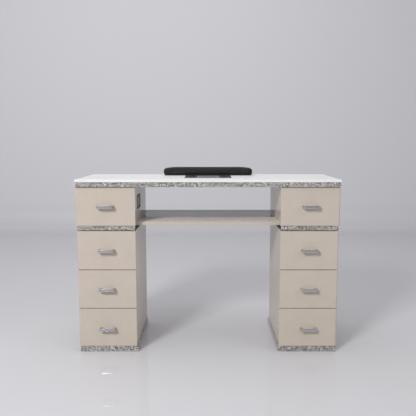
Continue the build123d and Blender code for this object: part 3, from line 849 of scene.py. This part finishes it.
class MANICURE_OT_pulls(PieceOperator):
    """Build the bow pulls and their screws"""

    bl_idname = "manicure.pulls"
    bl_label = "Pulls"

    def execute(self, context):
        s = sizes()
        for drawer in DRAWERS:
            lo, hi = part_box(f"drawer_pull_{drawer}")
            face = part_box(f"drawer_front_{drawer}")[0].y
            bm = bmesh.new()
            outline = [
                (lo.x, face), (lo.x, lo.y), (hi.x, lo.y), (hi.x, face),
                (hi.x - s.pull_leg, face), (hi.x - s.pull_leg, lo.y + s.pull_bar),
                (lo.x + s.pull_leg, lo.y + s.pull_bar), (lo.x + s.pull_leg, face),
            ]
            verts = [bm.verts.new((x, y, lo.z)) for x, y in outline]
            bm.faces.new(verts)
            self.round_corners(bm, [verts[5], verts[6]], s.pull_round - s.pull_bar)
            outer = [v for v in bm.verts if v.co.y < lo.y + TOUCH]
            self.round_corners(bm, outer, s.pull_round)
            flat = bm.faces[:]
            raised = bmesh.ops.extrude_face_region(bm, geom=flat)["geom"]
            top = [g for g in raised if isinstance(g, bmesh.types.BMVert)]
            bmesh.ops.translate(bm, vec=(0, 0, hi.z - lo.z), verts=top)
            bmesh.ops.recalc_face_normals(bm, faces=bm.faces[:])
            for f in bm.faces:
                f.smooth = abs(f.normal.z) < 0.5
            rims = [e for e in sharp_edges(bm)
                    if is_level(e) and max(v.co.y for v in e.verts) < face - TOUCH]
            ease(bm, rims, PULL_EDGE, 3)
            self.add_screws(bm, drawer, lo, hi)
            add_piece(f"pull_{drawer}", bm, "satin", f"drawer_{drawer}", "satin_metal",
                      f"drawer_pull_{drawer}")
        return {"FINISHED"}

    def round_corners(self, bm, verts, radius):
        """Rounds corners of a flat outline."""
        bmesh.ops.bevel(bm, geom=verts, offset=radius, offset_type="OFFSET", segments=8, profile=0.5,
                        affect="VERTICES", material=-1)

    def add_screws(self, bm, drawer, lo, hi):
        """Pan heads with a round recess, inside the drawer."""
        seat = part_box(f"drawer_box_{drawer}")[0].y + sizes().drawer_board
        for x in (lo.x + sizes().pull_leg / 2, hi.x - sizes().pull_leg / 2):
            centre = Vector((x, seat, (lo.z + hi.z) / 2))
            lathe(bm, PAN_HEAD, centre, REARWARDS, steps=20)


class MANICURE_OT_runners(PieceOperator):
    """Finish the runner channels, brackets, screws, lead and gland"""

    bl_idname = "manicure.runners"
    bl_label = "Runners and fixings"

    def execute(self, context):
        for node in ("runner_channels", "top_brackets", "shelf_screws"):
            paint_node(node, "zinc")
        for node in ("supply_lead", "cord_gland"):
            paint_node(node, "black_plastic")
        return {"FINISHED"}


class MANICURE_OT_shelf(PieceOperator):
    """Build the shelf and its smoked stop panel"""

    bl_idname = "manicure.shelf"
    bl_label = "Shelf"

    def execute(self, context):
        lo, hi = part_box("shelf")
        bm = bmesh.new()
        add_board(bm, lo, hi, SHELF_EDGE, 3)
        # the upper face takes the paler copy of the laminate, which is painted light
        for face in bm.faces:
            face.material_index = 1 if face.normal.z > 0.9 else 0
        board = add_piece("shelf_board", bm, "laminate", "table", "beige_gloss_laminate", "shelf")
        board.data.materials.append(FINISHES["painted_light_laminate"])
        lo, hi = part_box("stop_panel")
        bm = bmesh.new()
        add_board(bm, lo, hi, STOP_EDGE, 2)
        add_piece("stop_sheet", bm, "smoke", "table", "smoked_acrylic", "stop_panel")
        return {"FINISHED"}


class MANICURE_OT_outlet(PieceOperator):
    """Finish the power outlet"""

    bl_idname = "manicure.outlet"
    bl_label = "Outlet"

    def execute(self, context):
        paint_node("outlet_plate", "black_plastic")
        paint_node("outlet_sockets", "socket_plastic")
        return {"FINISHED"}


class MANICURE_OT_vent(PieceOperator):
    """Finish the dust vent, its filter and its fan"""

    bl_idname = "manicure.vent"
    bl_label = "Dust vent"

    def execute(self, context):
        paint_node("vent_tray", "black_paint")
        paint_node("vent_side_plates", "black_paint")
        paint_node("vent_grille", "grille")
        paint_node("vent_filter", "foam")
        self.add_plate_screws()
        paint_node("fan_housing", "black_plastic")
        paint_node("fan_rotor", "black_plastic")
        return {"FINISHED"}

    def add_plate_screws(self):
        """Countersunk screws at the corners of the side plates."""
        lo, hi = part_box("vent_side_plates")
        grille_lo, grille_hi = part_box("vent_grille")
        bm = bmesh.new()
        margin = FLUSH_HEAD_INSET
        for y in (lo.y + margin, hi.y - margin):
            for x in (lo.x + margin, grille_lo.x - margin, grille_hi.x + margin, hi.x - margin):
                lathe(bm, FLUSH_HEAD, Vector((x, y, hi.z)), UPWARDS, steps=16)
        add_piece("vent_plate_screws", bm, "zinc", "table", "satin_metal")


class MANICURE_OT_armrest(PieceOperator):
    """Build the padded armrest, its piping and its stitches"""

    bl_idname = "manicure.armrest"
    bl_label = "Armrest"

    def execute(self, context):
        paint_node("armrest_base", "black_plastic")
        lo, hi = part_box("armrest_pad")
        pad = self.add_cushion(lo, hi)
        self.inflate(pad, lo, hi)
        pad.modifiers.new("smooth_cover", "SUBSURF").levels = 1
        pad.modifiers["smooth_cover"].render_levels = 1
        self.add_piping(pad, lo, hi)
        return {"FINISHED"}

    def add_cushion(self, lo, hi):
        """The foam's shape, a little smaller than the finished pad."""
        slack = sizes().pad_puff / 2
        top = hi.z - slack
        bm = bmesh.new()
        add_block(bm, (lo.x + slack, lo.y + slack, lo.z), (hi.x - slack, hi.y - slack, top))
        ease(bm, [e for e in bm.edges if not is_level(e)], PAD_CORNER, 8)
        upper = [e for e in bm.edges if min(v.co.z for v in e.verts) > top - TOUCH]
        ease(bm, upper, PAD_TOP_EDGE, 6)
        lower = [e for e in bm.edges if max(v.co.z for v in e.verts) < lo.z + TOUCH]
        ease(bm, lower, PAD_LOWER_EDGE, 3)
        pad = add_piece("armrest_cushion", bm, "leatherette", "table", "black_leatherette",
                        "armrest_pad")
        remesh = pad.modifiers.new("even_mesh", "REMESH")
        remesh.mode, remesh.voxel_size, remesh.use_smooth_shade = "VOXEL", sizes().pad_voxel, True
        self.apply(pad)
        return pad

    def apply(self, piece):
        """Bakes a piece's modifiers into its mesh."""
        view = bpy.context.evaluated_depsgraph_get()
        mesh = bpy.data.meshes.new_from_object(piece.evaluated_get(view), depsgraph=view)
        piece.modifiers.clear()
        piece.data = mesh

    def inflate(self, pad, lo, hi):
        """Swells the cover over its foam, held flat underneath."""
        start = [v.co.copy() for v in pad.data.vertices]
        held = pad.vertex_groups.new(name="underside")
        held.add([n for n, co in enumerate(start) if co.z < lo.z + PINNED_BAND], 1.0, "REPLACE")
        cloth = pad.modifiers.new("cover", "CLOTH").settings
        cloth.use_pressure, cloth.uniform_pressure_force = True, COVER_PRESSURE
        cloth.effector_weights.gravity = 0
        cloth.vertex_group_mass = "underside"
        scene = bpy.context.scene
        for step in range(1, COVER_FRAMES + 1):
            scene.frame_set(step)
        self.apply(pad)
        scene.frame_set(1)
        pad.vertex_groups.clear()
        for vert, co in zip(pad.data.vertices, start):
            move = vert.co - co
            if move.length > sizes().pad_puff:
                move.length = sizes().pad_puff
            vert.co = co + move
        self.fit(pad, lo, hi)
        for face in pad.data.polygons:
            face.use_smooth = True

    def fit(self, pad, lo, hi):
        """Brings the swollen cover to the pad's own width, depth and height."""
        verts = pad.data.vertices
        for axis in range(3):
            low, high = min(v.co[axis] for v in verts), max(v.co[axis] for v in verts)
            stretch = (hi[axis] - lo[axis]) / (high - low)
            for vert in verts:
                vert.co[axis] = lo[axis] + (vert.co[axis] - low) * stretch

    def add_piping(self, pad, lo, hi):
        """A welt round the pad where its top panel meets its sides, with a row of stitches under it."""
        view = bpy.context.evaluated_depsgraph_get()
        cover = BVHTree.FromObject(pad, view)
        seam_z = lo.z + SEAM_HEIGHT * (hi.z - lo.z)
        rows = (("armrest_piping", seam_z, PIPING_RADIUS, "leatherette"),
                ("armrest_stitching", seam_z - STITCH_DROP, THREAD_RADIUS, "thread"))
        for name, z, radius, finish in rows:
            points = self.outline(cover, lo, hi, z)
            curve = bpy.data.curves.new(name, "CURVE")
            curve.dimensions, curve.bevel_depth, curve.bevel_resolution = "3D", radius, 3
            runs = [points] if finish == "leatherette" else self.stitches(points)
            for run in runs:
                spline = curve.splines.new("POLY")
                spline.points.add(len(run) - 1)
                for point, co in zip(spline.points, run):
                    point.co = (*co, 1)
                spline.use_cyclic_u = finish == "leatherette"
            curve.use_fill_caps = True
            bent = bpy.data.objects.new(name, curve)
            mesh = bpy.data.meshes.new_from_object(bent)
            bpy.data.objects.remove(bent)
            bm = bmesh.new()
            bm.from_mesh(mesh)
            bpy.data.meshes.remove(mesh)
            for face in bm.faces:
                face.smooth = True
            add_piece(name, bm, finish, "table", "black_leatherette")

    def outline(self, cover, lo, hi, z):
        """Even points round the pad's cover at a height."""
        middle = Vector(((lo.x + hi.x) / 2, (lo.y + hi.y) / 2, z))
        inner = Vector((hi.x - lo.x, hi.y - lo.y, 0)) / 2 - Vector((SEAM_CORNER, SEAM_CORNER, 0))
        found = []
        perimeter = 4 * (inner.x + inner.y) + math.tau * SEAM_CORNER
        for k in range(SEAM_POINTS):
            start, out = self.walk(inner, SEAM_CORNER, perimeter * k / SEAM_POINTS)
            found.append(cover.ray_cast(middle + start + out * CAST_FROM, -out)[0])
        return found

    def walk(self, inner, radius, along):
        """A place and an outward direction on a rounded rectangle, a distance along its edge."""
        runs = [(2 * inner.x, 0), (2 * inner.y, 90), (2 * inner.x, 180), (2 * inner.y, 270)]
        corner = [(-1, -1), (1, -1), (1, 1), (-1, 1)]
        arc = radius * math.pi / 2
        for (length, heading), (cx, cy) in zip(runs, corner):
            angle = math.radians(heading)
            way = Vector((math.cos(angle), math.sin(angle), 0))
            out = Vector((way.y, -way.x, 0))
            base = Vector((cx * inner.x, cy * inner.y, 0))
            if along < length:
                return base + way * along, out
            along -= length
            if along < arc:
                turn = Matrix.Rotation(along / radius, 3, "Z")
                return base + way * length, turn @ out
            along -= arc
        return base + way * length, out

    def stitches(self, points):
        """One short run in each step along the seam, with the rest left open."""
        return [points[k:k + 2] for k in range(0, len(points) - 1, STITCH_STEP)]


class MANICURE_OT_stage(PieceOperator):
    """Set up the room, the lights and the camera"""

    bl_idname = "manicure.stage"
    bl_label = "Stage"

    def execute(self, context):
        s = context.scene.manicure_stage
        self.add_room(s)
        self.add_light("key", (-2.4, -4.2, 3.2), (0, 0, 0.45), 1.15, s.key_power)
        self.add_light("fill", (3.2, -1.6, 2.2), (0, 0, 0.4), 2.5, s.fill_power)
        self.add_light("top", (-0.8, 0.2, 4.2), (-0.2, 0.2, 0), 3.6, s.top_power)
        world = bpy.data.worlds.new("even_light")
        world.use_nodes = True
        back = world.node_tree.nodes["Background"]
        back.inputs["Color"].default_value = SKY_TINT
        back.inputs["Strength"].default_value = s.sky
        context.scene.world = world
        context.scene.view_settings.view_transform = "Standard"
        lens = bpy.data.cameras.new("camera")
        lens.lens, lens.sensor_width = s.lens, 36
        camera = bpy.data.objects.new("camera", lens)
        camera.location = (0, -s.camera_back, s.camera_height)
        camera.rotation_euler = (math.radians(90) - s.camera_pitch, 0, 0)
        context.scene.collection.objects.link(camera)
        context.scene.camera = camera
        return {"FINISHED"}

    def add_light(self, name, place, target, size, power):
        light = bpy.data.lights.new(name, "AREA")
        light.shape, light.size, light.energy = "SQUARE", size, power
        lamp = bpy.data.objects.new(name, light)
        lamp.location = place
        lamp.visible_camera = False
        lamp.rotation_euler = (Vector(target) - Vector(place)).to_track_quat("-Z", "Y").to_euler()
        bpy.context.scene.collection.objects.link(lamp)

    def add_room(self, s):
        """A floor that turns up into a wall through a curve."""
        reach, high, curve, steps = 9.0, 7.0, 0.25, 8
        bm = bmesh.new()
        points = [(-reach, 0.0), (s.wall_back - curve, 0.0)]
        for k in range(1, steps + 1):
            a = math.radians(90) * k / steps
            points.append((s.wall_back - curve + curve * math.sin(a), curve * (1 - math.cos(a))))
        points.append((s.wall_back, high))
        verts = [bm.verts.new((-reach, y, z)) for y, z in points]
        edges = [bm.edges.new(pair) for pair in zip(verts, verts[1:])]
        raised = bmesh.ops.extrude_edge_only(bm, edges=edges)["geom"]
        bmesh.ops.translate(bm, vec=(2 * reach, 0, 0),
                            verts=[g for g in raised if isinstance(g, bmesh.types.BMVert)])
        bmesh.ops.recalc_face_normals(bm, faces=bm.faces[:])
        for face in bm.faces:
            face.smooth = True
        mesh = bpy.data.meshes.new("room")
        bm.to_mesh(mesh)
        bm.free()
        fade = 0.3  # the floor's paint gives way to the wall's over this height
        f = Finish("room_paint", Specular_IOR_Level=0.4)
        height = f.node("SeparateXYZ", {0: f.node("TexCoord", output="Object")}, output=2)
        rise = f.ramp(height / fade, (0.0, 0.0), (1.0, 1.0))
        f.set(Base_Color=f.mix(rise, s.floor_colour, s.wall_colour))
        f.set(Roughness=0.05 + 0.75 * rise)
        mesh.materials.append(f.material)
        room = bpy.data.objects.new("room", mesh)
        bpy.context.scene.collection.objects.link(room)


class MANICURE_PT_panel(bpy.types.Panel):
    """Lists the table's sizes, colours and pieces"""

    bl_idname = "MANICURE_PT_panel"
    bl_label = "Manicure Table"
    bl_space_type = "VIEW_3D"
    bl_region_type = "UI"
    bl_category = "Manicure Table"

    def draw(self, context):
        for operator in PIECE_OPERATORS:
            self.layout.operator(operator.bl_idname)
        for group in (context.scene.manicure_sizes, context.scene.manicure_colours,
                      context.scene.manicure_stage):
            box = self.layout.box()
            for name in group.__annotations__:
                box.prop(group, name)


PIECE_OPERATORS = (
    MANICURE_OT_finishes,
    MANICURE_OT_top,
    MANICURE_OT_granite_boards,
    MANICURE_OT_cases,
    MANICURE_OT_drawer_fronts,
    MANICURE_OT_drawer_boxes,
    MANICURE_OT_pulls,
    MANICURE_OT_runners,
    MANICURE_OT_shelf,
    MANICURE_OT_outlet,
    MANICURE_OT_vent,
    MANICURE_OT_armrest,
    MANICURE_OT_stage,
)
SETTINGS = {
    "manicure_sizes": TableSizes,
    "manicure_colours": TableColours,
    "manicure_stage": StageSettings,
}


def register():
    for name, group in SETTINGS.items():
        bpy.utils.register_class(group)
        setattr(bpy.types.Scene, name, PointerProperty(type=group))
    for operator in PIECE_OPERATORS:
        bpy.utils.register_class(operator)
    bpy.utils.register_class(MANICURE_PT_panel)


def unregister():
    bpy.utils.unregister_class(MANICURE_PT_panel)
    for operator in reversed(PIECE_OPERATORS):
        bpy.utils.unregister_class(operator)
    for name, group in SETTINGS.items():
        delattr(bpy.types.Scene, name)
        bpy.utils.unregister_class(group)


def main():
    register()
    for operator in PIECE_OPERATORS:
        group, call = operator.bl_idname.split(".")
        getattr(getattr(bpy.ops, group), call)()


if __name__ == "__main__":
    main()
